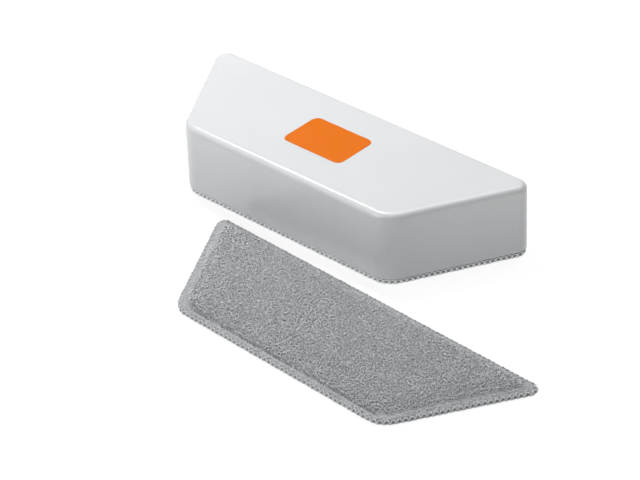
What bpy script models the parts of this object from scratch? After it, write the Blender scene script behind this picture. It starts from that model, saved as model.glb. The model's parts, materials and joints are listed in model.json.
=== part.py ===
"""A magnetic board eraser with a replaceable microfibre pad, and one spare pad.

The housing is a hollow moulded shell closed by a snap-in base plate that carries two bar magnets and two
strips of hook tape. The fitted pad grips the hook tape with its loop backing. The spare pad lies in front
of the eraser with its wiping face up. Metres, +Z up. The origin is the centre of the fitted pad's wiping
face, +X runs along the long edge, and the long edge is on the +Y side.
"""

import math

import bmesh
import bpy
from mathutils import Matrix

# Outline: a trapezoid with a long back edge and two sides that slope in towards the front
LONG_EDGE = 0.150
DEPTH = 0.0485
SIDE_ANGLE = math.radians(60)
SHARP_CORNER_RADIUS = 0.0047
BLUNT_CORNER_RADIUS = 0.0100
LEAST_RADIUS = 0.0006

# Housing shell
RIM_Z = 0.0022
TOP_Z = 0.0285
WALL = 0.0022
TOP_DRAFT = 0.0002
TOP_FILLET = 0.0024
CEILING_FILLET = 0.0012
RIM_CHAMFER = 0.0006

# Label, set flush into the top face
LABEL_CENTRE = (0.0003, 0.0002)
LABEL_SIZE = (0.0267, 0.0184)
LABEL_RADIUS = 0.0026
LABEL_THICKNESS = 0.0003
LABEL_GAP = 0.0001

# Base plate, its clips and its magnet trays
CLEARANCE = 0.0003
PLATE_Z = 0.0031
PLATE_THICKNESS = 0.0020
CLIP_WIDTH = 0.0080
CLIP_THICKNESS = 0.0012
CLIP_BARB = 0.0009
CLIP_HEIGHT = 0.0060
CATCH_DEPTH = 0.0010
CATCH_HEIGHT = 0.0010
CLIP_PLACES = ((-0.045, 1), (0.045, 1), (-0.022, -1), (0.022, -1))
MAGNET_SIZE = (0.0300, 0.0120, 0.0040)
MAGNET_X = 0.036
TRAY_WALL = 0.0012
TRAY_HEIGHT = 0.0042
POST_RADIUS = 0.0025

# Hook tape, in grooves under the base plate
HOOK_WIDTH = 0.0120
HOOK_PROUD = 0.0002
GROOVE_DEPTH = 0.0010
HOOK_STRIPS = {"back": (0.100, 0.0105), "front": (0.076, -0.0105)}

# Pad, measured up from its wiping face, and in from the housing's outline
PAD_HEIGHT = 0.0027
COVER_TOP = 0.0011
CORE_BOTTOM = 0.0013
CORE_TOP = 0.0020
BACKING_BOTTOM = 0.0022
FIELD_INSET = 0.0039
BACKING_INSET = 0.0029
EDGING_INSETS = (0.0013, 0.0036)
EDGING_HEIGHTS = (0.0003, 0.0020)
STITCH_INSETS = (0.0004, 0.0011)
STITCH_HEIGHTS = (0.0004, 0.0019)
SECTION_ROUNDING = 0.0005
COVER_ROUNDING = 0.0004

# Spare pad: where it lies, and how far it is turned
SPARE_PLACE = (0.0482, -0.0563)
SPARE_TURN = math.radians(-2.3)

ARC_STEPS = 10
FILLET_STEPS = 6
ROUND_STEPS = 16


def clear_scene():
    for obj in list(bpy.data.objects):
        bpy.data.objects.remove(obj, do_unlink=True)


def material(name, colour, roughness, metallic=0.0):
    """A Principled material in one colour."""
    made = bpy.data.materials.new(name)
    made.use_nodes = True
    shader = made.node_tree.nodes["Principled BSDF"]
    shader.inputs["Base Color"].default_value = (*colour, 1.0)
    shader.inputs["Roughness"].default_value = roughness
    shader.inputs["Metallic"].default_value = metallic
    return made


def outline(inset):
    """The rounded trapezoid, moved in by inset, as points counterclockwise seen from above."""
    slope = math.pi / 2 - SIDE_ANGLE
    turns = (math.pi / 2, math.pi + slope, 3 * math.pi / 2, 2 * math.pi - slope)
    half_long, half_deep = LONG_EDGE / 2, DEPTH / 2
    side = half_long * math.cos(slope) - half_deep * math.sin(slope)
    reaches = (half_deep, side, half_deep, side)
    corners = (SHARP_CORNER_RADIUS, BLUNT_CORNER_RADIUS, BLUNT_CORNER_RADIUS, SHARP_CORNER_RADIUS)
    points = []
    for i, start in enumerate(turns):
        radius = max(corners[i] - inset, LEAST_RADIUS)
        end = turns[(i + 1) % 4]
        if end < start:
            end += 2 * math.pi
        first, second = reaches[i] - inset - radius, reaches[(i + 1) % 4] - inset - radius
        across = math.sin(end - start)
        x = (first * math.sin(end) - second * math.sin(start)) / across
        y = (second * math.cos(start) - first * math.cos(end)) / across
        for step in range(ARC_STEPS + 1):
            angle = start + (end - start) * step / ARC_STEPS
            points.append((x + radius * math.cos(angle), y + radius * math.sin(angle)))
    return points


def rounded_rectangle(centre, size, radius):
    """A rectangle with round corners, as points counterclockwise."""
    points = []
    for quarter, (sx, sy) in enumerate(((1, 1), (-1, 1), (-1, -1), (1, -1))):
        x = centre[0] + sx * (size[0] / 2 - radius)
        y = centre[1] + sy * (size[1] / 2 - radius)
        for step in range(FILLET_STEPS + 1):
            angle = (quarter + step / FILLET_STEPS) * math.pi / 2
            points.append((x + radius * math.cos(angle), y + radius * math.sin(angle)))
    return points


def circle(centre, radius):
    """A circle, as points counterclockwise."""
    angles = [2 * math.pi * step / ROUND_STEPS for step in range(ROUND_STEPS)]
    return [(centre[0] + radius * math.cos(a), centre[1] + radius * math.sin(a)) for a in angles]


def add_object(name, shape, finish=None):
    """Makes a mesh object from a bmesh, with its normals out and its flat faces kept sharp."""
    bmesh.ops.recalc_face_normals(shape, faces=shape.faces)
    mesh = bpy.data.meshes.new(name)
    shape.to_mesh(mesh)
    shape.free()
    mesh.shade_smooth()
    mesh.set_sharp_from_angle(angle=math.radians(30))
    made = bpy.data.objects.new(name, mesh)
    bpy.context.scene.collection.objects.link(made)
    if finish:
        mesh.materials.append(finish)
    return made


def loft(name, rings, finish=None, ring_shaped=False):
    """A skin over rings of (outline points, height). Its ends are capped, or joined to make a ring."""
    shape = bmesh.new()
    rows = [[shape.verts.new((x, y, z)) for x, y in points] for points, z in rings]
    count = len(rows[0])
    following = rows[1:] + rows[:1] if ring_shaped else rows[1:]
    for lower, upper in zip(rows, following):
        for i in range(count):
            j = (i + 1) % count
            shape.faces.new((lower[i], lower[j], upper[j], upper[i]))
    if not ring_shaped:
        shape.faces.new(rows[0])
        shape.faces.new(rows[-1])
    return add_object(name, shape, finish)


def block(name, low, high, finish=None):
    """A box from its lowest to its highest corner."""
    shape = bmesh.new()
    bmesh.ops.create_cube(shape, size=1.0)
    size = [h - l for l, h in zip(low, high)]
    middle = [(h + l) / 2 for l, h in zip(low, high)]
    fit = Matrix.Translation(middle) @ Matrix.Diagonal((*size, 1.0))
    bmesh.ops.transform(shape, matrix=fit, verts=shape.verts)
    return add_object(name, shape, finish)


def extrusion_along_x(name, profile, low_x, high_x):
    """A solid with one profile of (y, z) points all along X."""
    shape = bmesh.new()
    face = shape.faces.new([shape.verts.new((low_x, y, z)) for y, z in profile])
    grown = bmesh.ops.extrude_face_region(shape, geom=[face])["geom"]
    moved = [item for item in grown if isinstance(item, bmesh.types.BMVert)]
    bmesh.ops.translate(shape, verts=moved, vec=(high_x - low_x, 0, 0))
    return add_object(name, shape)


def combine(target, tool, operation):
    """Adds a Boolean to the target, and hides its tool from the render."""
    boolean = target.modifiers.new(tool.name, "BOOLEAN")
    boolean.operation = operation
    boolean.solver = "EXACT"
    boolean.object = tool
    tool.hide_render = True
    tool.display_type = "WIRE"


def fillet(inset, height, radius, steps):
    """Rings of a rounded upper edge that starts at inset and ends at height, as (inset, height)."""
    rings = []
    for step in range(steps + 1):
        angle = math.pi / 2 * step / steps
        rings.append((inset + radius * (1 - math.cos(angle)), height - radius * (1 - math.sin(angle))))
    return rings


def make_shell(finish):
    """The hollow shell with its rounded top edge, label recess, clip catches and hold-down posts."""
    ceiling = TOP_Z - WALL
    inner = fillet(WALL, ceiling, CEILING_FILLET, 3)[::-1] + [(WALL, RIM_Z)]
    outer = [(RIM_CHAMFER, RIM_Z), (0.0, RIM_Z + RIM_CHAMFER)]
    outer += fillet(TOP_DRAFT, TOP_Z, TOP_FILLET, FILLET_STEPS)
    shell = loft("top_shell", [(outline(inset), z) for inset, z in inner + outer], finish)

    for number, (x, side) in enumerate(CLIP_PLACES):
        wall = DEPTH / 2 - WALL
        low_z = PLATE_Z + PLATE_THICKNESS + CLIP_HEIGHT - CLIP_BARB - CATCH_HEIGHT - CLEARANCE
        depths = sorted((side * (wall + WALL / 2), side * (wall - CATCH_DEPTH)))
        low = (x - CLIP_WIDTH / 2, depths[0], low_z)
        high = (x + CLIP_WIDTH / 2, depths[1], low_z + CATCH_HEIGHT)
        combine(shell, block(f"catch_tool_{number}", low, high), "UNION")

    for side in (-1, 1):
        magnet_top = PLATE_Z + PLATE_THICKNESS + CLEARANCE + MAGNET_SIZE[2]
        low_z, high_z = magnet_top + CLEARANCE, ceiling + WALL / 2
        round_post = circle((side * MAGNET_X, 0), POST_RADIUS)
        post = loft(f"post_tool_{side + 1}", [(round_post, low_z), (round_post, high_z)])
        combine(shell, post, "UNION")

    recess_size = [size + 2 * LABEL_GAP for size in LABEL_SIZE]
    recess = rounded_rectangle(LABEL_CENTRE, recess_size, LABEL_RADIUS + LABEL_GAP)
    floor_z = TOP_Z - LABEL_THICKNESS - LABEL_GAP
    combine(shell, loft("label_recess_tool", [(recess, floor_z), (recess, TOP_Z + WALL)]), "DIFFERENCE")
    return shell


def make_label(finish):
    """The plain rounded label, flush with the top face."""
    shape = rounded_rectangle(LABEL_CENTRE, LABEL_SIZE, LABEL_RADIUS)
    return loft("top_label", [(shape, TOP_Z - LABEL_THICKNESS), (shape, TOP_Z)], finish)


def clip_profile(side):
    """A snap clip in the (y, z) plane: a stem with a barb that points at the wall on that side."""
    foot = PLATE_Z + PLATE_THICKNESS / 2
    top = PLATE_Z + PLATE_THICKNESS + CLIP_HEIGHT
    outside = DEPTH / 2 - WALL - CATCH_DEPTH - CLEARANCE
    inside = outside - CLIP_THICKNESS
    under_barb = top - CLIP_BARB
    points = [
        (inside, foot),
        (outside, foot),
        (outside, under_barb),
        (outside + CLIP_BARB, under_barb),
        (outside + CLIP_BARB, under_barb + CLIP_BARB / 3),
        (outside, top),
        (inside, top),
    ]
    return [(side * y, z) for y, z in points]


def make_base_plate(finish):
    """The plate that closes the shell, with its snap clips, magnet trays and hook tape grooves."""
    edge = outline(WALL + CLEARANCE)
    top = PLATE_Z + PLATE_THICKNESS
    plate = loft("base_plate", [(edge, PLATE_Z), (edge, top)], finish)

    for number, (x, side) in enumerate(CLIP_PLACES):
        clip = extrusion_along_x(
            f"clip_tool_{number}", clip_profile(side), x - CLIP_WIDTH / 2, x + CLIP_WIDTH / 2
        )
        combine(plate, clip, "UNION")

    for side in (-1, 1):
        inner = [size / 2 + CLEARANCE for size in MAGNET_SIZE[:2]]
        outer = [half + TRAY_WALL for half in inner]
        x = side * MAGNET_X
        low = (x - outer[0], -outer[1], PLATE_Z + PLATE_THICKNESS / 2)
        high = (x + outer[0], outer[1], top + TRAY_HEIGHT)
        combine(plate, block(f"tray_tool_{side + 1}", low, high), "UNION")
        low = (x - inner[0], -inner[1], top)
        high = (x + inner[0], inner[1], top + 2 * TRAY_HEIGHT)
        combine(plate, block(f"tray_hollow_tool_{side + 1}", low, high), "DIFFERENCE")

    for name, (length, y) in HOOK_STRIPS.items():
        half = (length / 2 + CLEARANCE, HOOK_WIDTH / 2 + CLEARANCE)
        low = (-half[0], y - half[1], PLATE_Z - GROOVE_DEPTH)
        high = (half[0], y + half[1], PLATE_Z + GROOVE_DEPTH)
        combine(plate, block(f"groove_tool_{name}", low, high), "DIFFERENCE")
    return plate


def make_magnet(name, side, finish):
    """A ferrite bar that lies in its tray."""
    low_z = PLATE_Z + PLATE_THICKNESS + CLEARANCE
    x, half = side * MAGNET_X, [size / 2 for size in MAGNET_SIZE]
    low = (x - half[0], -half[1], low_z)
    high = (x + half[0], half[1], low_z + MAGNET_SIZE[2])
    return block(name, low, high, finish)


def make_hook_strip(name, length, y, finish):
    """A strip of hook tape in its groove, a little proud of the plate."""
    low = (-length / 2, y - HOOK_WIDTH / 2, PLATE_Z - HOOK_PROUD)
    high = (length / 2, y + HOOK_WIDTH / 2, PLATE_Z + GROOVE_DEPTH - CLEARANCE)
    return block(name, low, high, finish)


def edge_ring(name, insets, heights, rounding, finish):
    """A ring round the pad with a chamfered rectangular section."""
    (out, into), (low, high) = insets, heights
    section = (
        (out + rounding, low),
        (out, low + rounding),
        (out, high - rounding),
        (out + rounding, high),
        (into - rounding, high),
        (into, high - rounding),
        (into, low + rounding),
        (into - rounding, low),
    )
    return loft(name, [(outline(inset), z) for inset, z in section], finish, ring_shaped=True)


def make_pad(prefix, finishes):
    """The five pieces of a pad, wiping face down at z = 0."""
    cover = [
        (outline(FIELD_INSET + COVER_ROUNDING), 0.0),
        (outline(FIELD_INSET), COVER_ROUNDING),
        (outline(FIELD_INSET), COVER_TOP),
    ]
    field, backing = outline(FIELD_INSET), outline(BACKING_INSET)
    stitch_rounding = SECTION_ROUNDING / 2
    return [
        loft(f"{prefix}_cover", cover, finishes["pile"]),
        loft(f"{prefix}_core", [(field, CORE_BOTTOM), (field, CORE_TOP)], finishes["foam"]),
        loft(f"{prefix}_backing", [(backing, BACKING_BOTTOM), (backing, PAD_HEIGHT)], finishes["loop"]),
        edge_ring(f"{prefix}_edging", EDGING_INSETS, EDGING_HEIGHTS, SECTION_ROUNDING, finishes["edging"]),
        edge_ring(f"{prefix}_stitching", STITCH_INSETS, STITCH_HEIGHTS, stitch_rounding, finishes["thread"]),
    ]


def gather(name, pieces, place=None):
    """Parents the pieces to an empty, which stands on the body's joint axis, and moves it to its place."""
    holder = bpy.data.objects.new(name, None)
    bpy.context.scene.collection.objects.link(holder)
    for piece in pieces:
        piece.parent = holder
    if place:
        holder.matrix_world = place
    return holder


def main():
    clear_scene()
    white = material("white_shell", (0.78, 0.79, 0.80), 0.22)
    plate_grey = material("plate_grey", (0.55, 0.56, 0.57), 0.5)
    finishes = {
        "pile": material("pile_grey", (0.36, 0.37, 0.38), 0.95),
        "foam": material("foam_grey", (0.28, 0.28, 0.29), 0.95),
        "loop": material("loop_grey", (0.42, 0.43, 0.44), 0.95),
        "edging": material("edging_grey", (0.45, 0.46, 0.46), 0.85),
        "thread": material("thread_grey", (0.50, 0.51, 0.51), 0.8),
    }

    housing = [
        make_shell(white),
        make_label(material("label_orange", (0.84, 0.21, 0.018), 0.4)),
        make_base_plate(plate_grey),
    ]
    ferrite = material("ferrite", (0.05, 0.05, 0.055), 0.6)
    housing += [make_magnet(f"magnet_{name}", side, ferrite) for name, side in (("left", -1), ("right", 1))]
    tape = material("hook_tape", (0.10, 0.10, 0.11), 0.7)
    for name, (length, y) in HOOK_STRIPS.items():
        housing.append(make_hook_strip(f"hook_strip_{name}", length, y, tape))
    gather("eraser_housing", housing)
    gather("fitted_pad", make_pad("fitted_pad", finishes))

    turned_over = Matrix.Rotation(math.pi, 4, "Y")
    turned = Matrix.Rotation(SPARE_TURN, 4, "Z")
    place = Matrix.Translation((*SPARE_PLACE, PAD_HEIGHT)) @ turned @ turned_over
    gather("spare_pad", make_pad("spare_pad", finishes), place)


main()
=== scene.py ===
"""Looks of the magnetic board eraser: its moulded housing, the fitted pad and the spare pad."""

import json
import math

import bpy
import numpy as np
from mathutils import Matrix, Vector


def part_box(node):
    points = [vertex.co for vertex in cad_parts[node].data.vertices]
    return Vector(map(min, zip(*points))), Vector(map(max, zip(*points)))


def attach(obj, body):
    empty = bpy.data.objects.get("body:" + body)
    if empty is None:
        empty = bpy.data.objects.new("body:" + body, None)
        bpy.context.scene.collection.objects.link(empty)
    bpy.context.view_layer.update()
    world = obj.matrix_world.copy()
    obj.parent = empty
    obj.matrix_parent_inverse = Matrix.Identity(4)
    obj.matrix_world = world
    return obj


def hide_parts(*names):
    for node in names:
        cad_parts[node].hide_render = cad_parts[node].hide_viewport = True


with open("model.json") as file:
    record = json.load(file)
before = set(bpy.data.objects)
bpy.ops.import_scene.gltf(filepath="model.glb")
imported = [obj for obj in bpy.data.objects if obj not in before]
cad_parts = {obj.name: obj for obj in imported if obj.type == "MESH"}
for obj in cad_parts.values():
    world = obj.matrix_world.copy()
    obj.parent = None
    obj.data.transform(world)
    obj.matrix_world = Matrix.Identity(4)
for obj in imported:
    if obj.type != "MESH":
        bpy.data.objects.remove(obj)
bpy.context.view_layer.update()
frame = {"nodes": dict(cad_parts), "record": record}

MM = 0.001
RANDOM = np.random.default_rng(7)

# Outline of the housing, which every pad outline follows
SHELL_LOW, SHELL_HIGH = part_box("top_shell")
SHARP_RADIUS = 4.7 * MM
BLUNT_RADIUS = 10.0 * MM
SLOPE = math.radians(30)
HALF_DEEP = (SHELL_HIGH.y - SHELL_LOW.y) / 2
SIDE_REACH = (
    (SHELL_HIGH.x - SHARP_RADIUS) * math.cos(SLOPE)
    - (HALF_DEEP - SHARP_RADIUS) * math.sin(SLOPE)
    + SHARP_RADIUS
)

# Pad levels, measured up from its wiping face
PAD_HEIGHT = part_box("fitted_pad_backing")[1].z
COVER_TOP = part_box("fitted_pad_cover")[1].z
EDGING_LOW, EDGING_HIGH = (corner.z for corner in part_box("fitted_pad_edging"))
BACKING_INSET = SHELL_HIGH.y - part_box("fitted_pad_backing")[1].y
BACKING_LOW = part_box("fitted_pad_backing")[0].z

# The fitted pad is pressed between the housing and the board, the spare pad is relaxed. Crowns are levels of
# the ground cloth in mid field. Seams are levels of its sewn edge, all round and along the front.
PRESSED_CROWN = 0.55 * MM
PRESSED_SEAM = (1.2 * MM, 1.2 * MM)
PRESSED_ROLL = (0.32 * MM, EDGING_HIGH - 0.12 * MM)
RELAXED_CROWN = 0.0
RELAXED_SEAM = (0.35 * MM, 1.5 * MM)
RELAXED_ROLL = (EDGING_LOW, EDGING_HIGH)
RELAXED_SHARP_RADIUS = 3.0 * MM
RELAXED_DROOP = 0.35 * MM
SPARE_TURN = math.radians(-2.3)

# Ground cloth of the cover
SEAM_INSET = 3.4 * MM
SEAM_BLEND = 6.0 * MM
SIDE_PULL = 0.45
SHOULDER = 0.75 * MM
SHOULDER_POWER = 1.4
COVER_TUCK = 0.2 * MM
SWELL_CAP = 0.35 * MM
SWELL_SCALE = 10.0
SWELL_PRESSURE = 3.0
SWELL_STEPS = 18

# Pile
PILE_INSET = 4.2 * MM
PILE_BACK_INSET = 2.5 * MM
PILE_PITCH = 0.68 * MM
PILE_SCATTER = 0.16 * MM
PILE_RADIUS = 0.19 * MM
LOOP_SPANS = (0.6 * MM, 1.15 * MM)
LOOP_HEIGHTS = (0.5 * MM, 0.95 * MM)
LOOP_LEAN = 0.22 * MM
LOOP_ROOT_DEPTH = 0.1 * MM
LOOP_TAPER = np.array([0.75, 1.0, 1.1, 1.0, 0.75])

# Edge
RIM_STEPS = 1640
ROLL_INSETS = (0.95 * MM, 2.8 * MM)
LUMP_DEPTH = 0.14 * MM
STITCH_PITCH = 2.0 * MM
THREAD_RADIUS = 0.26 * MM
THREAD_INSET = 0.78 * MM
THREAD_LEVEL = 1.2 * MM
THREAD_RISE = 0.60 * MM
THREAD_SWING = 0.32 * MM
GATHER_INSETS = (2.0 * MM, 4.5 * MM)
GATHER_PITCH = 1.3 * MM
GATHER_DEPTH = 0.20 * MM
CORE_INSET = 1.15 * MM
CORE_REACH = 0.45 * MM

# Loop cloth and hook tape
NAP_COUNT = 5200
NAP_SPANS = (0.5 * MM, 1.1 * MM)
NAP_HEIGHTS = (0.12 * MM, 0.24 * MM)
NAP_ROOT_DEPTH = 0.32 * MM
NAP_RADIUS = 0.07 * MM
TAPE_FACE = 0.22 * MM
HOOK_PITCH = (1.5 * MM, 1.45 * MM)
HOOK_ROOT = 0.25 * MM
HOOK_SHANK = 0.17 * MM
HOOK_REACH = 0.24 * MM
HOOK_RADIUS = 0.085 * MM

# Studio
WORLD_LIGHT = 0.08
WORLD_SEEN = 1.0
LIT_POINT = (0.0, 0.0, 20 * MM)
FLOOR_REACH = 3.0
FLOOR_GLOW = 0.85

# Camera
CAMERA_AZIMUTH = math.radians(43.4)
CAMERA_ELEVATION = math.radians(34.6)
CAMERA_ROLL = math.radians(2.56)
CAMERA_DISTANCE = 0.852
CAMERA_OFFSET = (3.3 * MM, 13.0 * MM)
CAMERA_LENS = 135.9
CAMERA_SENSOR = 36.0


def srgb(red, green, blue):
    """A linear colour from display values of 0 to 255."""
    return tuple(
        v / 3294.6 if v <= 10.31 else ((v / 255 + 0.055) / 1.055) ** 2.4 for v in (red, green, blue)
    )


# ---------------------------------------------------------------- outline


def outline(inset, steps=24):
    """The rounded trapezoid moved in by inset, as points counterclockwise seen from above."""
    turns = (math.pi / 2, math.pi + SLOPE, 3 * math.pi / 2, 2 * math.pi - SLOPE)
    reaches = (HALF_DEEP, SIDE_REACH, HALF_DEEP, SIDE_REACH)
    corners = (SHARP_RADIUS, BLUNT_RADIUS, BLUNT_RADIUS, SHARP_RADIUS)
    points = []
    for i, start in enumerate(turns):
        radius = max(corners[i] - inset, 0.6 * MM)
        end = turns[(i + 1) % 4]
        if end < start:
            end += 2 * math.pi
        first, second = reaches[i] - inset - radius, reaches[(i + 1) % 4] - inset - radius
        across = math.sin(end - start)
        x = (first * math.sin(end) - second * math.sin(start)) / across
        y = (second * math.cos(start) - first * math.cos(end)) / across
        for angle in np.linspace(start, end, steps + 1):
            points.append((x + radius * math.cos(angle), y + radius * math.sin(angle)))
    return np.array(points)


def rim(inset, count):
    """count places evenly along the outline: points, outward normals and directions, each (count, 2)."""
    points = outline(inset, 64)
    loop = np.vstack([points, points[:1]])
    lengths = np.linalg.norm(np.diff(loop, axis=0), axis=1)
    along = np.concatenate([[0], np.cumsum(lengths)])
    at = np.arange(count) / count * along[-1]
    placed = np.stack([np.interp(at, along, loop[:, k]) for k in range(2)], axis=1)
    ahead = np.roll(placed, -1, axis=0) - np.roll(placed, 1, axis=0)
    direction = ahead / np.linalg.norm(ahead, axis=1)[:, None]
    return placed, np.stack([direction[:, 1], -direction[:, 0]], axis=1), direction


def rim_length(inset):
    """The outline's length."""
    points = outline(inset, 64)
    return float(np.linalg.norm(points - np.roll(points, 1, axis=0), axis=1).sum())


def half_width(y, inset):
    """Half the outline's width at each y."""
    points = outline(inset, 64)
    right = points[points[:, 0] > 0]
    right = right[np.argsort(right[:, 1])]
    return np.interp(y, right[:, 1], right[:, 0])


# ---------------------------------------------------------------- meshes


def add_mesh(name, vertices, faces, material=None, smooth=True):
    """A mesh object from points and faces."""
    mesh = bpy.data.meshes.new(name)
    faces = [tuple(face) for face in np.asarray(faces).tolist()] if isinstance(faces, np.ndarray) else faces
    mesh.from_pydata(np.asarray(vertices).tolist(), [], faces)
    mesh.validate()
    if smooth:
        mesh.shade_smooth()
    made = bpy.data.objects.new(name, mesh)
    bpy.context.scene.collection.objects.link(made)
    if material:
        mesh.materials.append(material)
    return made


def unit(vectors):
    """Vectors of length 1, along the last axis."""
    return vectors / np.maximum(np.linalg.norm(vectors, axis=-1, keepdims=True), 1e-12)


def tubes(paths, radii, sides, reference, closed=False):
    """Points and faces of many tubes. paths is (tubes, points, 3), radii and reference spread over it."""
    count, length = paths.shape[:2]
    if closed:
        tangent = np.roll(paths, -1, axis=1) - np.roll(paths, 1, axis=1)
    else:
        tangent = np.gradient(paths, axis=1)
    side = unit(np.cross(tangent, np.broadcast_to(reference, paths.shape)))
    up = unit(np.cross(side, tangent))
    turn = np.arange(sides) * 2 * math.pi / sides
    radii = np.broadcast_to(radii, (count, length))[..., None, None]
    ring = np.cos(turn)[:, None] * side[:, :, None] + np.sin(turn)[:, None] * up[:, :, None]
    points = (paths[:, :, None] + radii * ring).reshape(-1, 3)
    index = np.arange(count * length * sides).reshape(count, length, sides)
    following = np.roll(index, -1, axis=1) if closed else index[:, 1:]
    first = index if closed else index[:, :-1]
    around = np.roll(first, -1, axis=2), np.roll(following, -1, axis=2)
    quads = np.stack([first, around[0], around[1], following], axis=-1).reshape(-1, 4)
    faces = [tuple(q) for q in quads.tolist()]
    if not closed:
        faces += [tuple(row[::-1]) for row in index[:, 0].tolist()]
        faces += [tuple(row) for row in index[:, -1].tolist()]
    return points, faces


def swept_ring(count, section):
    """Points and faces of a ring: section is (count, around, 3) points, each row closed on itself."""
    around = section.shape[1]
    index = np.arange(count * around).reshape(count, around)
    following = np.roll(index, -1, axis=0)
    quads = np.stack(
        [index, following, np.roll(following, -1, axis=1), np.roll(index, -1, axis=1)], axis=-1
    )
    return section.reshape(-1, 3), quads.reshape(-1, 4)


def closed_grid(rows, columns):
    """Faces of a closed form over a grid of plan points: its lower side, its upper side and its walls."""
    low = np.arange(rows * columns).reshape(rows, columns)
    faces = []
    for grid, flip in ((low, True), (low + rows * columns, False)):
        quads = np.stack([grid[:-1, :-1], grid[:-1, 1:], grid[1:, 1:], grid[1:, :-1]], axis=-1)
        faces += [tuple(q[::-1] if flip else q) for q in quads.reshape(-1, 4).tolist()]
    edge_low = np.concatenate([low[0, :-1], low[:-1, -1], low[-1, :0:-1], low[:0:-1, 0]])
    edge_high = edge_low + rows * columns
    walls = np.stack([edge_low, np.roll(edge_low, -1), np.roll(edge_high, -1), edge_high], axis=-1)
    return faces + [tuple(q) for q in walls.tolist()]


def both_sides(plan, low, high):
    """Points of a closed form's lower and upper side over its plan points."""
    return np.concatenate([np.dstack([plan, side]).reshape(-1, 3) for side in (low, high)])


def slab(inset, columns, rows):
    """A grid over the outline, finer at the front and back: plan points (rows, columns, 2) and its faces."""
    edge = HALF_DEEP - inset
    y = -edge * np.cos(np.linspace(0, math.pi, rows)) * 0.35 + np.linspace(-edge, edge, rows) * 0.65
    v = np.linspace(-1, 1, columns)
    x = half_width(y, inset)[:, None] * v[None]
    plan = np.stack([x, np.broadcast_to(y[:, None], x.shape)], axis=-1)
    return plan, closed_grid(rows, columns)


def edge_distance(plan, inset):
    """How far each plan point is inside the outline at that inset, near enough."""
    x, y = np.abs(plan[..., 0]), plan[..., 1]
    side = SIDE_REACH - inset - (x * math.cos(SLOPE) - y * math.sin(SLOPE))
    return np.minimum(np.minimum(HALF_DEEP - inset - y, HALF_DEEP - inset + y), side)


# ---------------------------------------------------------------- materials


class Nodes:
    """Builds one procedural material around a Principled shader."""

    def __init__(self, name):
        self.material = bpy.data.materials.new(name)
        self.material.use_nodes = True
        self.tree = self.material.node_tree
        self.shader = self.tree.nodes["Principled BSDF"]
        self.place = self.add("ShaderNodeTexCoord").outputs["Object"]

    def add(self, kind, **settings):
        node = self.tree.nodes.new(kind)
        for key, value in settings.items():
            setattr(node, key, value)
        return node

    def link(self, source, target):
        self.tree.links.new(source, target)

    def put(self, socket, value):
        """Links a socket to an input, or sets it."""
        if isinstance(value, bpy.types.NodeSocket):
            self.link(value, socket)
        else:
            socket.default_value = value

    def scaled(self, sizes):
        """The place on the object, with each axis measured in its own size."""
        mapping = self.add("ShaderNodeMapping")
        mapping.inputs["Scale"].default_value = [1 / size for size in sizes]
        self.link(self.place, mapping.inputs["Vector"])
        return mapping.outputs["Vector"]

    def noise(self, size, detail=4.0, roughness=0.55, distortion=0.0, stretch=(1, 1, 1)):
        """Noise whose features are about size across, in metres."""
        place = self.scaled([size * s for s in stretch])
        node = self.add("ShaderNodeTexNoise")
        self.link(place, node.inputs["Vector"])
        node.inputs["Scale"].default_value = 1.0
        node.inputs["Detail"].default_value = detail
        node.inputs["Roughness"].default_value = roughness
        node.inputs["Distortion"].default_value = distortion
        return node.outputs["Fac"]

    def cells(self, size):
        """Cells about size across: their distance output."""
        place = self.scaled([size] * 3)
        node = self.add("ShaderNodeTexVoronoi")
        self.link(place, node.inputs["Vector"])
        node.inputs["Scale"].default_value = 1.0
        return node.outputs["Distance"]

    def ramp(self, factor, stops):
        """Maps a factor through (position, colour) stops."""
        node = self.add("ShaderNodeValToRGB")
        elements = node.color_ramp.elements
        while len(elements) < len(stops):
            elements.new(0.5)
        for element, (position, colour) in zip(elements, stops):
            element.position = position
            element.color = (*colour, 1.0)
        self.link(factor, node.inputs["Fac"])
        return node.outputs["Color"]

    def span(self, factor, low, high, out_low, out_high):
        """Maps a range of a factor to another range, held at its ends."""
        node = self.add("ShaderNodeMapRange")
        for name, value in (("Value", factor), ("From Min", low), ("From Max", high)):
            self.put(node.inputs[name], value)
        node.inputs["To Min"].default_value = out_low
        node.inputs["To Max"].default_value = out_high
        return node.outputs["Result"]

    def maths(self, operation, first, second):
        """The result of an operation on two values or sockets."""
        node = self.add("ShaderNodeMath", operation=operation)
        self.put(node.inputs[0], first)
        self.put(node.inputs[1], second)
        return node.outputs[0]

    def mix(self, factor, first, second):
        """A colour between first and second."""
        node = self.add("ShaderNodeMix", data_type="RGBA")
        for socket, value in ((node.inputs[0], factor), (node.inputs[6], first), (node.inputs[7], second)):
            self.put(socket, (*value, 1.0) if isinstance(value, tuple) else value)
        return node.outputs[2]

    def bump(self, height, depth):
        """Feeds a height, worth depth metres from 0 to 1, into the shader's normal."""
        node = self.add("ShaderNodeBump")
        node.inputs["Distance"].default_value = depth
        self.link(height, node.inputs["Height"])
        self.link(node.outputs["Normal"], self.shader.inputs["Normal"])

    def colour(self, value):
        self.put(self.shader.inputs["Base Color"], value)

    def rough(self, value):
        self.put(self.shader.inputs["Roughness"], value)

    def fibrous(self, sheen):
        """A soft sheen and little gloss, as fibres have."""
        self.shader.inputs["Sheen Weight"].default_value = sheen
        self.shader.inputs["Sheen Roughness"].default_value = 0.5
        self.shader.inputs["Specular IOR Level"].default_value = 0.25


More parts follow.
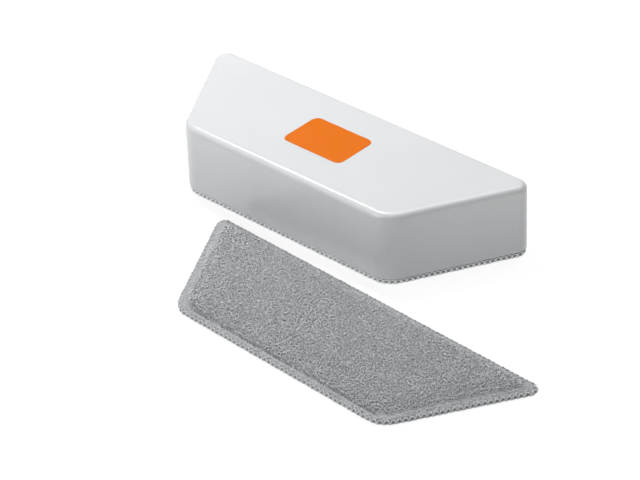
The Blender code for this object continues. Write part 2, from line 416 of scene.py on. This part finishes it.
def shell_material():
    """Glossy white moulded plastic, with faint flow marks, handling marks and painted shade that darkens it
    towards the bottom.
    """
    m = Nodes("glossy_white_plastic")
    flow = m.noise(38 * MM, 3.0, 0.5, 0.4)
    unshaded_tone = m.ramp(flow, ((0.3, srgb(202, 204, 206)), (0.7, srgb(206, 207, 208))))
    smudge_and_shade_noise = m.noise(9 * MM, 5.0, 0.6, 0.8)
    height = m.add("ShaderNodeSeparateXYZ")
    m.link(m.place, height.inputs["Vector"])
    # Painted shade: the colour darkens towards the bottom in soft patches; the same noise also varies the
    # handled gloss.
    low = m.span(height.outputs["Z"], SHELL_LOW.z, SHELL_HIGH.z - 3 * MM, 1.0, 0.0)
    painted_bottom_shade = m.maths("MULTIPLY", low, m.span(smudge_and_shade_noise, 0.2, 0.8, 0.85, 1.0))
    m.colour(m.mix(painted_bottom_shade, unshaded_tone, srgb(183, 185, 187)))
    hairline = m.noise(0.35 * MM, 2.0, 0.5, 0.0, (1, 26, 8))
    handled = m.span(smudge_and_shade_noise, 0.35, 0.75, 0.17, 0.25)
    m.rough(m.maths("ADD", handled, m.span(hairline, 0.6, 0.8, 0.0, 0.05)))
    m.bump(m.noise(1.4 * MM, 3.0, 0.5), 0.006 * MM)
    m.shader.inputs["IOR"].default_value = 1.46
    return m.material


def label_material():
    """Printed orange film with a very fine print grain."""
    m = Nodes("printed_orange_film")
    grain = m.noise(0.25 * MM, 3.0, 0.6)
    patch = m.noise(7 * MM, 2.0)
    printed = m.ramp(grain, ((0.35, (0.60, 0.130, 0.003)), (0.65, (0.65, 0.146, 0.005))))
    m.colour(m.mix(m.span(patch, 0.3, 0.7, 0.0, 0.35), printed, (0.60, 0.132, 0.003)))
    m.rough(m.span(patch, 0.3, 0.7, 0.34, 0.44))
    m.shader.inputs["Specular IOR Level"].default_value = 0.2
    m.bump(grain, 0.004 * MM)
    return m.material


def plate_material():
    """Spark-eroded matt grey plastic."""
    m = Nodes("matt_grey_plastic")
    grain = m.noise(0.45 * MM, 4.0, 0.65)
    m.colour(m.ramp(m.noise(14 * MM, 4.0), ((0.3, srgb(186, 188, 190)), (0.7, srgb(199, 200, 201)))))
    m.rough(m.span(grain, 0.3, 0.7, 0.46, 0.6))
    m.bump(grain, 0.03 * MM)
    return m.material


def ferrite_material():
    """Ground dark ferrite, with grinding lines and small chips."""
    m = Nodes("ground_ferrite")
    lines = m.noise(0.3 * MM, 3.0, 0.5, 0.0, (22, 1, 1))
    chips = m.cells(1.3 * MM)
    base = m.ramp(lines, ((0.3, (0.030, 0.030, 0.033)), (0.7, (0.062, 0.062, 0.068))))
    m.colour(m.mix(m.span(chips, 0.0, 0.18, 0.5, 0.0), base, (0.12, 0.12, 0.125)))
    m.rough(m.span(lines, 0.3, 0.7, 0.42, 0.62))
    m.bump(lines, 0.02 * MM)
    return m.material


def foam_material():
    """Fine open-celled foam."""
    m = Nodes("open_cell_foam")
    cell = m.cells(0.55 * MM)
    m.colour(m.ramp(cell, ((0.1, (0.09, 0.09, 0.095)), (0.55, (0.30, 0.30, 0.31)))))
    m.rough(m.span(cell, 0.1, 0.6, 0.85, 0.97))
    m.bump(cell, 0.2 * MM)
    return m.material


def cloth_material(name, dark, light, size, sheen=0.3, roughness=0.92, fuzz=0.12):
    """Cloth or yarn: two close tones in fine fibres, over wider patches, with a soft sheen."""
    m = Nodes(name)
    fibre = m.noise(size, 4.0, 0.65, 0.6)
    patch = m.noise(5.5 * MM, 3.0, 0.55)
    tone = m.ramp(fibre, ((0.32, dark), (0.68, light)))
    m.colour(m.mix(m.span(patch, 0.3, 0.7, 0.0, 0.25), tone, dark))
    m.rough(m.span(fibre, 0.3, 0.7, roughness - 0.06, roughness + 0.05))
    m.bump(fibre, fuzz * MM)
    m.fibrous(sheen)
    return m.material


def pile_material():
    """Microfibre loops: each strand is one of many close greys, with fine fibres along it."""
    m = Nodes("microfibre_pile")
    strand = m.noise(0.85 * MM, 1.0, 0.5)
    fibre = m.noise(0.16 * MM, 3.0, 0.6)
    patch = m.noise(9 * MM, 3.0)
    strands = ((0.30, srgb(187, 189, 191)), (0.5, srgb(199, 201, 203)), (0.72, srgb(210, 212, 214)))
    tone = m.ramp(strand, strands)
    fine = m.mix(m.span(fibre, 0.3, 0.7, 0.0, 0.2), tone, srgb(180, 182, 184))
    m.colour(m.mix(m.span(patch, 0.3, 0.7, 0.0, 0.15), fine, srgb(186, 188, 190)))
    m.rough(m.span(fibre, 0.3, 0.7, 0.8, 0.95))
    m.bump(fibre, 0.06 * MM)
    m.fibrous(0.25)
    return m.material


def floor_material():
    """A pale, softly backlit acrylic table with a barely visible grain."""
    m = Nodes("backlit_studio_floor")
    m.colour(m.ramp(m.noise(3 * MM, 4.0), ((0.3, (0.195,) * 3), (0.7, (0.21,) * 3))))
    m.rough(m.span(m.noise(60 * MM), 0.3, 0.7, 0.86, 0.94))
    m.shader.inputs["Specular IOR Level"].default_value = 0.0
    m.shader.inputs["Emission Color"].default_value = (1.0, 1.0, 1.0, 1.0)
    m.shader.inputs["Emission Strength"].default_value = FLOOR_GLOW
    return m.material


# ---------------------------------------------------------------- pads


def swollen(plan, faces, low, high):
    """Heights after a cloth simulation of the cover: pressure crowns its wiping side, its rim is sewn.

    It runs at SWELL_SCALE times the real size, where the solver is steady.
    """
    rows, columns = plan.shape[:2]
    obj = add_mesh("cover_simulation", both_sides(plan, low, high) * SWELL_SCALE, faces)
    sewn = np.ones((rows, columns), bool)
    sewn[1:-1, 1:-1] = False
    held = np.concatenate([np.flatnonzero(sewn), np.arange(rows * columns) + rows * columns])
    group = obj.vertex_groups.new(name="sewn")
    group.add(held.tolist(), 1.0, "REPLACE")
    settings = obj.modifiers.new("cloth", "CLOTH").settings
    settings.quality = 6
    settings.mass = 0.3
    settings.tension_stiffness = settings.compression_stiffness = 12
    settings.bending_stiffness = 0.4
    settings.vertex_group_mass = group.name
    settings.use_pressure = True
    settings.uniform_pressure_force = SWELL_PRESSURE
    settings.effector_weights.gravity = 0
    for step in range(1, SWELL_STEPS + 1):
        bpy.context.scene.frame_set(step)
    shown = obj.evaluated_get(bpy.context.evaluated_depsgraph_get())
    heights = np.array([v.co.z for v in shown.data.vertices])[: rows * columns] / SWELL_SCALE
    bpy.data.objects.remove(obj, do_unlink=True)
    bpy.context.scene.frame_set(1)
    return heights.reshape(rows, columns)


class Cover:
    """The ground cloth of the pile: heights of its wiping side over the plan of the field.

    seam holds the levels of its sewn edge, all round and along the front, which also pulls on one side.
    """

    def __init__(self, crown, seam):
        self.plan, self.faces = slab(SEAM_INSET, 161, 57)
        inside = np.clip(edge_distance(self.plan, SEAM_INSET), 0, None)
        rise = 1 - np.exp(-((inside / SHOULDER) ** SHOULDER_POWER))
        x, y = self.plan[..., 0], self.plan[..., 1]
        front = np.clip(1 - (y + HALF_DEEP - SEAM_INSET) / SEAM_BLEND, 0, 1)
        to_side = SIDE_REACH - SEAM_INSET - (x * math.cos(SLOPE) - y * math.sin(SLOPE))
        side = np.clip(1 - to_side / SEAM_BLEND, 0, 1)
        sewn = seam[0] + (seam[1] - seam[0]) * np.maximum(front, SIDE_PULL * side)
        self.low = sewn + (crown - sewn) * rise
        self.high = np.full_like(self.low, COVER_TOP + COVER_TUCK)
        swelled = swollen(self.plan, self.faces, self.low, self.high)
        self.low = self.low + np.clip(swelled - self.low, -SWELL_CAP, 0)

    def height(self, x, y):
        """The surface's height at plan points inside the field."""
        rows, columns = self.low.shape
        row = np.interp(y, self.plan[:, 0, 1], np.arange(rows)).clip(0, rows - 1.001)
        column = (x / half_width(y, SEAM_INSET)).clip(-1, 1) * 0.5 + 0.5
        column = (column * (columns - 1)).clip(0, columns - 1.001)
        i, j = row.astype(int), column.astype(int)
        a, b = row - i, column - j
        near = self.low[i, j] * (1 - a) + self.low[i + 1, j] * a
        far = self.low[i, j + 1] * (1 - a) + self.low[i + 1, j + 1] * a
        return near * (1 - b) + far * b

    def normal(self, x, y):
        """Outward normals, towards the wiping side."""
        step = 0.25 * MM
        across = (self.height(x + step, y) - self.height(x - step, y)) / (2 * step)
        ahead = (self.height(x, y + step) - self.height(x, y - step)) / (2 * step)
        return unit(np.stack([across, ahead, -np.ones_like(across)], axis=-1))

    def mesh(self):
        """Points and faces of the closed cloth form."""
        return both_sides(self.plan, self.low, self.high), self.faces


def pile_places():
    """Roots of the loops: a loose triangular grid over the field."""
    front, back = PILE_INSET - HALF_DEEP, HALF_DEEP - PILE_BACK_INSET
    row_pitch = PILE_PITCH * 0.866
    places = []
    for number, y in enumerate(np.arange(front, back, row_pitch)):
        reach = half_width(y, PILE_INSET)
        x = np.arange(-reach + (number % 2) * PILE_PITCH / 2, reach, PILE_PITCH)
        places.append(np.stack([x, np.full(len(x), y)], axis=1))
    places = np.concatenate(places)
    return places + RANDOM.normal(0, PILE_SCATTER, places.shape)


def pile_loops(cover, deepest):
    """Two sets of loops that lie in all directions, so that none comes nearer the board than deepest."""
    places = pile_places()
    count = len(places)
    turn = RANDOM.uniform(0, 2 * math.pi, count)
    direction = np.stack([np.cos(turn), np.sin(turn), np.zeros(count)], axis=1)
    normal = cover.normal(places[:, 0], places[:, 1])
    direction = unit(direction - (direction * normal).sum(axis=1, keepdims=True) * normal)
    across = np.cross(normal, direction)
    span = RANDOM.uniform(*LOOP_SPANS, count)[:, None, None]
    tall = RANDOM.uniform(*LOOP_HEIGHTS, count)[:, None, None]
    lean = RANDOM.normal(0, LOOP_LEAN, count)[:, None, None]
    root = np.column_stack([places, cover.height(places[:, 0], places[:, 1])])
    along = np.linspace(0, 1, len(LOOP_TAPER))[None, :, None]
    rise = np.sin(math.pi * along) ** 0.8
    paths = root[:, None] + direction[:, None] * (along - 0.5) * span
    paths = paths + normal[:, None] * (rise * tall - LOOP_ROOT_DEPTH) + across[:, None] * lean * rise
    paths[..., 2] = np.maximum(paths[..., 2], deepest)
    radii = PILE_RADIUS * RANDOM.uniform(0.8, 1.2, count)[:, None] * LOOP_TAPER
    sideways = unit(across + 0.15 * normal)[:, None]
    return [tubes(paths[k::2], radii[k::2], 3, sideways[k::2]) for k in range(2)]


def smooth_lumps(count, around):
    """Smooth random lumps and dents, about a millimetre long, over a ring of count places."""
    lumps = RANDOM.normal(0, 1, (count, around))
    for _ in range(3):
        lumps = lumps + np.roll(lumps, 1, 0) + np.roll(lumps, 1, 1) + np.roll(lumps, -1, 0)
    return np.clip(lumps / lumps.std(), -2, 2)


def roll_section(phase, turn, lowest, highest):
    """How far out and how high the rolled border's sections reach: slanting ridges of thread, soft lumps."""
    ridges = round(rim_length(ROLL_INSETS[0]) / STITCH_PITCH) * 2
    ridge = 0.5 - 0.5 * np.cos(phase * ridges + 1.2 * np.sin(turn) + 0.8 * np.cos(turn))
    waver = 0.05 * MM * (np.sin(phase * 41 + 0.7) + 0.7 * np.sin(phase * 97 + 2.1))
    lumps = smooth_lumps(len(phase), turn.shape[1])
    inner_side = 0.5 - 0.5 * np.cos(turn)
    sunk = ridge * (0.04 + 0.10 * inner_side) * MM + LUMP_DEPTH * lumps
    reach = (ROLL_INSETS[1] - ROLL_INSETS[0]) / 2 + waver - sunk
    rise = (highest - lowest) / 2 - sunk
    across = np.sign(np.cos(turn)) * np.abs(np.cos(turn)) ** 0.85 * reach
    height = np.sign(np.sin(turn)) * np.abs(np.sin(turn)) ** 0.85 * rise + (highest + lowest) / 2
    return across, height


def sections_along(inset, across, height):
    """Points and faces of a ring along the outline, with sections of (count, around) offsets and heights."""
    place, normal, _ = rim(inset, len(across))
    plan = place[:, None] + normal[:, None] * across[..., None]
    return swept_ring(len(across), np.concatenate([plan, height[..., None]], axis=2))


def edging_roll(lowest, highest):
    """The smooth rolled border that closes the pad's edge."""
    around = 16
    phase = np.arange(RIM_STEPS)[:, None] / RIM_STEPS * 2 * math.pi
    turn = np.arange(around)[None] / around * 2 * math.pi
    across, height = roll_section(phase, turn, lowest, highest)
    return sections_along(sum(ROLL_INSETS) / 2, across, height)


def overlock(level, looped_sides):
    """Overlock thread: two helices that cross along the outer edge, and a looper on each looped side."""
    stitches = round(rim_length(THREAD_INSET) / STITCH_PITCH)
    steps_per_stitch = 14
    count = stitches * steps_per_stitch
    place, normal, direction = rim(THREAD_INSET, count)
    round_trip = np.arange(count) / count * 2 * math.pi
    step = round_trip * stitches
    drift = 0.05 * MM * (np.sin(round_trip * 61) + np.sin(round_trip * 37 + 1.0))
    paths = []
    for sense, start in ((1, 0.0), (-1, 0.9)):
        out = np.cos(sense * step + start) * THREAD_SWING + drift
        up = np.sin(sense * step + start) * THREAD_RISE
        paths.append(np.column_stack([place + normal * out[:, None], level + up]))
    for side in looped_sides:
        out = (0.10 + 0.12 * np.cos(step)) * MM + drift
        up = side * (THREAD_RISE + 0.06 * MM * np.sin(step * 2))
        paths.append(np.column_stack([place + normal * out[:, None], level + up]))
    reference = np.column_stack([direction, np.zeros(count)])
    return tubes(np.array(paths), THREAD_RADIUS, 6, reference[None], closed=True)


def seam_gathers(cover, roll_face, deepest):
    """The ground cloth in small folds, from the rolled border's face to where the field is sewn down."""
    across = 10
    folds = round(rim_length(GATHER_INSETS[1]) / GATHER_PITCH)
    phase = np.arange(RIM_STEPS) / RIM_STEPS * 2 * math.pi * folds
    drawn = GATHER_DEPTH * (np.cos(phase) + 0.4 * np.cos(phase * 0.5 + np.sin(phase / folds * 11) * 2))
    tucked = 0.5 * MM
    upper, lower = [], []
    for inset in np.linspace(*GATHER_INSETS, across):
        place, _, _ = rim(inset, RIM_STEPS)
        inward = min((inset - GATHER_INSETS[0]) / (SEAM_INSET - GATHER_INSETS[0]), 1.0)
        level = cover.height(place[:, 0], place[:, 1]) - 0.12 * MM
        level = roll_face + (level - roll_face) * inward
        upper.append(np.column_stack([place, np.maximum(level + drawn * inward + tucked, deepest)]))
        tucked = 0.0
        lower.append(np.column_stack([place, level + 0.9 * MM]))
    return swept_ring(RIM_STEPS, np.stack(lower + upper[::-1], axis=1))


def seam_core(level):
    """The cut edge of the layers, which shows as dark dots between the threads."""
    count, around = 600, 10
    turn = np.arange(around)[None] / around * 2 * math.pi
    across = np.broadcast_to(np.cos(turn) * CORE_REACH, (count, around))
    height = np.broadcast_to(np.sin(turn) * THREAD_RISE, (count, around)) + level
    return sections_along(CORE_INSET, across, height)


def loop_backing():
    """The brushed loop cloth: a thin closed sheet whose upper side is napped."""
    columns, rows = 181, 61
    plan, faces = slab(BACKING_INSET, columns, rows)
    inside = np.clip(edge_distance(plan, BACKING_INSET) / (0.8 * MM), 0, 1)
    nap = RANDOM.normal(0, 1, (rows, columns))
    nap = (nap + np.roll(nap, 1, 0) + np.roll(nap, 1, 1)) / 3 * 0.07 * MM
    low = BACKING_LOW + 0.02 * MM + 0.12 * MM * (1 - inside)
    high = PAD_HEIGHT - 0.18 * MM - 0.2 * MM * (1 - inside) + nap * inside
    return both_sides(plan, low, high), faces


def backing_loops():
    """Fine upright loops of the loop cloth, for hooks to grip."""
    edge = HALF_DEEP - BACKING_INSET - 0.6 * MM
    y = RANDOM.uniform(-edge, edge, NAP_COUNT)
    x = RANDOM.uniform(-1, 1, NAP_COUNT) * (half_width(y, BACKING_INSET) - 0.7 * MM)
    turn = RANDOM.uniform(0, 2 * math.pi, NAP_COUNT)
    direction = np.stack([np.cos(turn), np.sin(turn)], axis=1)
    along = np.linspace(0, 1, 6)
    span = RANDOM.uniform(*NAP_SPANS, NAP_COUNT)
    reach = ((along - 0.5) * span[:, None])[..., None]
    plan = np.stack([x, y], axis=1)[:, None] + direction[:, None] * reach
    tall = RANDOM.uniform(*NAP_HEIGHTS, NAP_COUNT)[:, None]
    z = PAD_HEIGHT - NAP_ROOT_DEPTH + np.sin(math.pi * along)[None] * tall
    across = np.stack([-direction[:, 1], direction[:, 0], np.full(NAP_COUNT, 0.1)], axis=1)
    return tubes(np.concatenate([plan, z[..., None]], axis=2), NAP_RADIUS, 3, across[:, None])


def greys(dark, light):
    """Two faintly cool greys, a darker and a lighter one."""
    return srgb(dark, dark + 2, dark + 4), srgb(light, light + 2, light + 4)


def pad_materials(thread):
    """The cloths and yarns of a pad, its edge thread of the given tone. The two pads get different thread
    tones as painted light and shade: lighter on the fitted pad, which lies in the housing's shade, and
    darker on the lit spare pad.
    """
    pile = pile_material()
    yarn = greys(thread - 11, thread + 11)
    return {
        "cover_cloth": cloth_material("pile_ground_cloth", *greys(148, 172), 0.3 * MM),
        "pile_first": pile,
        "pile_second": pile,
        "edging_roll": cloth_material("rolled_edging", *greys(130, 178), 0.6 * MM, 0.3, 0.85, 0.16),
        "overlock": cloth_material("overlock_thread", *yarn, 0.12 * MM, 0.3, 0.75, 0.04),
        "seam_core": cloth_material("dark_seam", *greys(126, 154), 0.25 * MM),
        "seam_gathers": cloth_material("gathered_ground_cloth", *greys(138, 188), 0.55 * MM),
        "loop_backing": cloth_material("loop_cloth", *greys(140, 168), 0.3 * MM),
        "backing_nap": cloth_material("loop_nap", *greys(160, 190), 0.2 * MM),
    }


STANDS_FOR = {
    "cover_cloth": ("cover", "pile_cloth"),
    "pile_first": ("cover", "pile_cloth"),
    "pile_second": ("cover", "pile_cloth"),
    "edging_roll": ("edging", "edging_cloth"),
    "overlock": ("stitching", "edge_thread"),
    "seam_core": ("stitching", "edge_thread"),
    "seam_gathers": ("cover", "pile_cloth"),
    "loop_backing": ("backing", "loop_cloth"),
    "backing_nap": ("backing", "loop_cloth"),
}


def pad_shapes(crown, seam, deepest, droop, roll, looped_sides):
    """Points and faces of every piece of one pad, its wiping face down at height 0.

    deepest is the lowest level its wiping side may reach, droop is how far its edge sinks towards its back.
    """
    cover = Cover(crown, seam)
    first, second = pile_loops(cover, deepest)
    return {
        "cover_cloth": cover.mesh(),
        "pile_first": first,
        "pile_second": second,
        "edging_roll": edging_roll(roll[0] + droop, roll[1] + droop),
        "overlock": overlock(THREAD_LEVEL + droop, looped_sides),
        "seam_core": seam_core(THREAD_LEVEL + droop),
        "seam_gathers": seam_gathers(cover, roll[0] + droop, deepest),
        "loop_backing": loop_backing(),
        "backing_nap": backing_loops(),
    }


def make_pad(prefix, place, shapes, materials):
    """Adds one pad's pieces at place, ties them to its body and hides the CAD nodes they stand for."""
    for part, (points, faces) in shapes.items():
        piece = add_mesh(f"{prefix}_{part}", points, faces, materials[part])
        piece.data.transform(place)
        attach(piece, prefix)
        node, slot_name = STANDS_FOR[part]
        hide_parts(f"{prefix}_{node}")
    reach = HALF_DEEP - BACKING_INSET
    2 * float(half_width(reach * 0.98, BACKING_INSET))
    polygon_area(outline(BACKING_INSET))


def corner_stretch(away):
    """How much farther out the tighter round lies, at angles away from the sharp corner's middle."""
    half_arc = math.pi / 3
    shift = 2 * (SHARP_RADIUS - RELAXED_SHARP_RADIUS)
    tangent = math.atan2(RELAXED_SHARP_RADIUS * math.sin(half_arc), shift + RELAXED_SHARP_RADIUS / 2)
    straight = SHARP_RADIUS / np.cos(np.clip(half_arc - away, 0, half_arc))
    inside = np.clip(RELAXED_SHARP_RADIUS**2 - (shift * np.sin(away)) ** 2, 0, None)
    arc = shift * np.cos(away) + np.sqrt(inside)
    stretch = np.where(away < tangent, arc, straight) / SHARP_RADIUS
    return np.where(away < half_arc, stretch, 1.0)


def spread_corners(points):
    """Draws a relaxed pad's two sharp corners out to a tighter round, away from the centre of each arc."""
    points = np.array(points)
    centre_y = HALF_DEEP - SHARP_RADIUS
    centre_x = (SIDE_REACH - SHARP_RADIUS + centre_y * math.sin(SLOPE)) / math.cos(SLOPE)
    for side in (-1, 1):
        x, y = side * points[:, 0] - centre_x, points[:, 1] - centre_y
        stretch = corner_stretch(np.abs(np.arctan2(y, x) - SLOPE))
        points[:, 0] = side * (centre_x + x * stretch)
        points[:, 1] = centre_y + y * stretch
    return points


def make_pads():
    """The fitted pad, pressed flat by the housing, and the spare pad, relaxed and lying on its back."""
    spare = next(m for m in frame["record"]["mounts"] if m["name"] == "spare_pad_back")["pos_m"]
    turned_over = Matrix.Rotation(SPARE_TURN, 4, "Z") @ Matrix.Rotation(math.pi, 4, "Y")
    lying = Matrix.Translation((spare[0], spare[1], PAD_HEIGHT)) @ turned_over
    flattened = 1.4 * PILE_RADIUS
    pressed = pad_shapes(PRESSED_CROWN, PRESSED_SEAM, flattened, 0.0, PRESSED_ROLL, (-1, 1))
    relaxed = pad_shapes(RELAXED_CROWN, RELAXED_SEAM, -PAD_HEIGHT, RELAXED_DROOP, RELAXED_ROLL, (1,))
    for part, (points, faces) in relaxed.items():
        if "backing" not in part:
            relaxed[part] = spread_corners(points), faces
    # Painted light: the same thread is lighter on the fitted pad, in the housing's shade, than on the lit
    # spare pad.
    make_pad("fitted_pad", Matrix.Identity(4), pressed, pad_materials(226))
    make_pad("spare_pad", lying, relaxed, pad_materials(188))


def polygon_area(points):
    """The area inside a closed outline."""
    x, y = points[:, 0], points[:, 1]
    return abs(float((x * np.roll(y, -1) - y * np.roll(x, -1)).sum()) / 2)


# ---------------------------------------------------------------- hook tape


def tape_weave(low, high):
    """Points and faces of the tape: a thin ribbed slab under the CAD strip's upper face."""
    width, deep = high.x - low.x, high.y - low.y
    columns, rows = 161, 21
    u, v = np.meshgrid(np.linspace(0, 1, columns), np.linspace(0, 1, rows))
    warp = np.cos(u * width / (0.8 * MM) * 2 * math.pi)
    weft = np.cos(v * deep / (0.8 * MM) * 2 * math.pi)
    plan = np.stack([low.x + u * width, low.y + v * deep], axis=-1)
    lower = low.z + TAPE_FACE + 0.035 * MM * warp * weft
    return both_sides(plan, lower, np.full_like(lower, high.z)), closed_grid(rows, columns)


def tape_hooks(low, high):
    """Points and faces of rows of small hooks that point down, each row turned against the next."""
    across = np.arange(low.x + 0.9 * MM, high.x - 0.6 * MM, HOOK_PITCH[0])
    deep = np.arange(low.y + 0.9 * MM, high.y - 0.5 * MM, HOOK_PITCH[1])
    x, y = np.meshgrid(across, deep)
    roots = np.stack([x.ravel(), y.ravel()], axis=1)
    roots = roots + RANDOM.normal(0, 0.08 * MM, roots.shape)
    row = np.arange(len(roots)) // len(across)
    sense = np.where(row % 2 == 0, 1.0, -1.0)[:, None]
    bend = np.linspace(0, 1, 7)[None]
    turn = bend * math.pi * 1.1
    hook_x = roots[:, :1] + sense * HOOK_REACH * (1 - np.cos(turn))
    hook_y = np.broadcast_to(roots[:, 1:], hook_x.shape)
    hook_z = low.z + HOOK_ROOT - HOOK_SHANK * np.minimum(bend * 3, 1) - HOOK_REACH * np.sin(turn)
    paths = np.stack([hook_x, hook_y, np.broadcast_to(hook_z, hook_x.shape)], axis=2)
    return tubes(paths, HOOK_RADIUS, 5, np.array([0.0, 1.0, 0.0]))


def make_hook_tape(node):
    """A woven tape with rows of small nylon hooks."""
    low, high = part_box(node)
    weave = cloth_material(f"{node}_weave", *greys(58, 84), 0.3 * MM)
    nylon = cloth_material(f"{node}_nylon", *greys(70, 102), 0.2 * MM, 0.1, 0.5, 0.01)
    tape = add_mesh(f"{node}_tape", *tape_weave(low, high), weave)
    hooks = add_mesh(f"{node}_hooks", *tape_hooks(low, high), nylon)
    for piece in (tape, hooks):
        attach(piece, "eraser_housing")
        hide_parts(node)


# ---------------------------------------------------------------- housing


def finish_cad_node(name, material):
    """Gives a CAD node its material, and shades its round edges smoothly without moving its mesh."""
    node = frame["nodes"][name]
    node.data.materials.clear()
    node.data.materials.append(material)
    weld = node.modifiers.new("weld", "WELD")
    weld.merge_threshold = 1e-6
    node.data.shade_smooth()
    node.data.set_sharp_from_angle(angle=math.radians(35))
    weighted = node.modifiers.new("weighted_normals", "WEIGHTED_NORMAL")
    weighted.keep_sharp = True
    weighted.weight = 80


# ---------------------------------------------------------------- studio


def lamp(data, direction):
    """A lamp that shines along direction."""
    made = bpy.data.objects.new(data.name, data)
    bpy.context.scene.collection.objects.link(made)
    made.rotation_euler = direction.to_track_quat("-Z", "Y").to_euler()
    return made


def area_light(name, size, power, place):
    """A rectangular soft box at place, turned towards the eraser."""
    data = bpy.data.lights.new(name, "AREA")
    data.shape = "RECTANGLE"
    data.size, data.size_y = size
    data.energy = power
    made = lamp(data, Vector(LIT_POINT) - Vector(place))
    made.location = place


def sun_light(name, strength, angle, direction):
    """A broad sun that shines along direction."""
    data = bpy.data.lights.new(name, "SUN")
    data.energy = strength
    data.angle = math.radians(angle)
    lamp(data, Vector(direction))


def make_studio():
    """The floor, the lights and a pale surround."""
    corners = [(x * FLOOR_REACH, y * FLOOR_REACH, 0) for x, y in ((-1, -1), (1, -1), (1, 1), (-1, 1))]
    floor = add_mesh("studio_floor", corners, [(0, 1, 2, 3)], floor_material(), smooth=False)
    sun_light("overhead_sun", 1.50, 45, (-0.04, -0.32, -1.0))
    area_light("key_softbox", (0.09, 0.09), 1.0, (-0.31, 0.09, 0.46))
    area_light("front_fill", (0.50, 0.40), 2.7, (-0.16, -0.72, 0.35))
    area_light("overhead_softbox", (0.05, 0.05), 1.30, (-0.157, 0.068, 0.523))
    make_world()
    bpy.context.scene.view_settings.view_transform = "Standard"


def make_world():
    """A dim surround for light that the camera sees as pale as the floor."""
    world = bpy.data.worlds.new("studio_world")
    bpy.context.scene.world = world
    world.use_nodes = True
    tree = world.node_tree
    seen = tree.nodes.new("ShaderNodeLightPath").outputs["Is Camera Ray"]
    level = tree.nodes.new("ShaderNodeMapRange")
    level.inputs["To Min"].default_value = WORLD_LIGHT
    level.inputs["To Max"].default_value = WORLD_SEEN
    tree.links.new(seen, level.inputs["Value"])
    tree.links.new(level.outputs["Result"], tree.nodes["Background"].inputs["Strength"])
    tree.nodes["Background"].inputs["Color"].default_value = (1.0, 1.0, 1.0, 1.0)


def make_camera():
    """A long lens that looks down at the front right corner."""
    az, el = CAMERA_AZIMUTH, CAMERA_ELEVATION
    back = Vector((math.sin(az) * math.cos(el), -math.cos(az) * math.cos(el), math.sin(el)))
    right = Vector((math.cos(az), math.sin(az), 0.0))
    up = back.cross(right)
    turn = Matrix.Rotation(-CAMERA_ROLL, 3, back)
    right, up = turn @ right, turn @ up
    aim = Vector((0, 0, SHELL_LOW.z)) - right * CAMERA_OFFSET[0] - up * CAMERA_OFFSET[1]
    data = bpy.data.cameras.new("camera")
    data.lens = CAMERA_LENS
    data.sensor_width = CAMERA_SENSOR
    data.clip_start, data.clip_end = 0.05, 20.0
    camera = bpy.data.objects.new("camera", data)
    bpy.context.scene.collection.objects.link(camera)
    basis = Matrix((right, up, back)).transposed()
    camera.matrix_world = Matrix.Translation(aim + back * CAMERA_DISTANCE) @ basis.to_4x4()
    bpy.context.scene.camera = camera


def main():
    """Dresses every node of the eraser and its pads, then sets up the studio."""
    finish_cad_node("top_shell", shell_material())
    finish_cad_node("top_label", label_material())
    finish_cad_node("base_plate", plate_material())
    ferrite = ferrite_material()
    for name in ("magnet_left", "magnet_right"):
        finish_cad_node(name, ferrite)
    foam = foam_material()
    for name in ("fitted_pad_core", "spare_pad_core"):
        finish_cad_node(name, foam)
    for name in ("hook_strip_back", "hook_strip_front"):
        make_hook_tape(name)
    make_pads()
    make_studio()
    make_camera()


main()
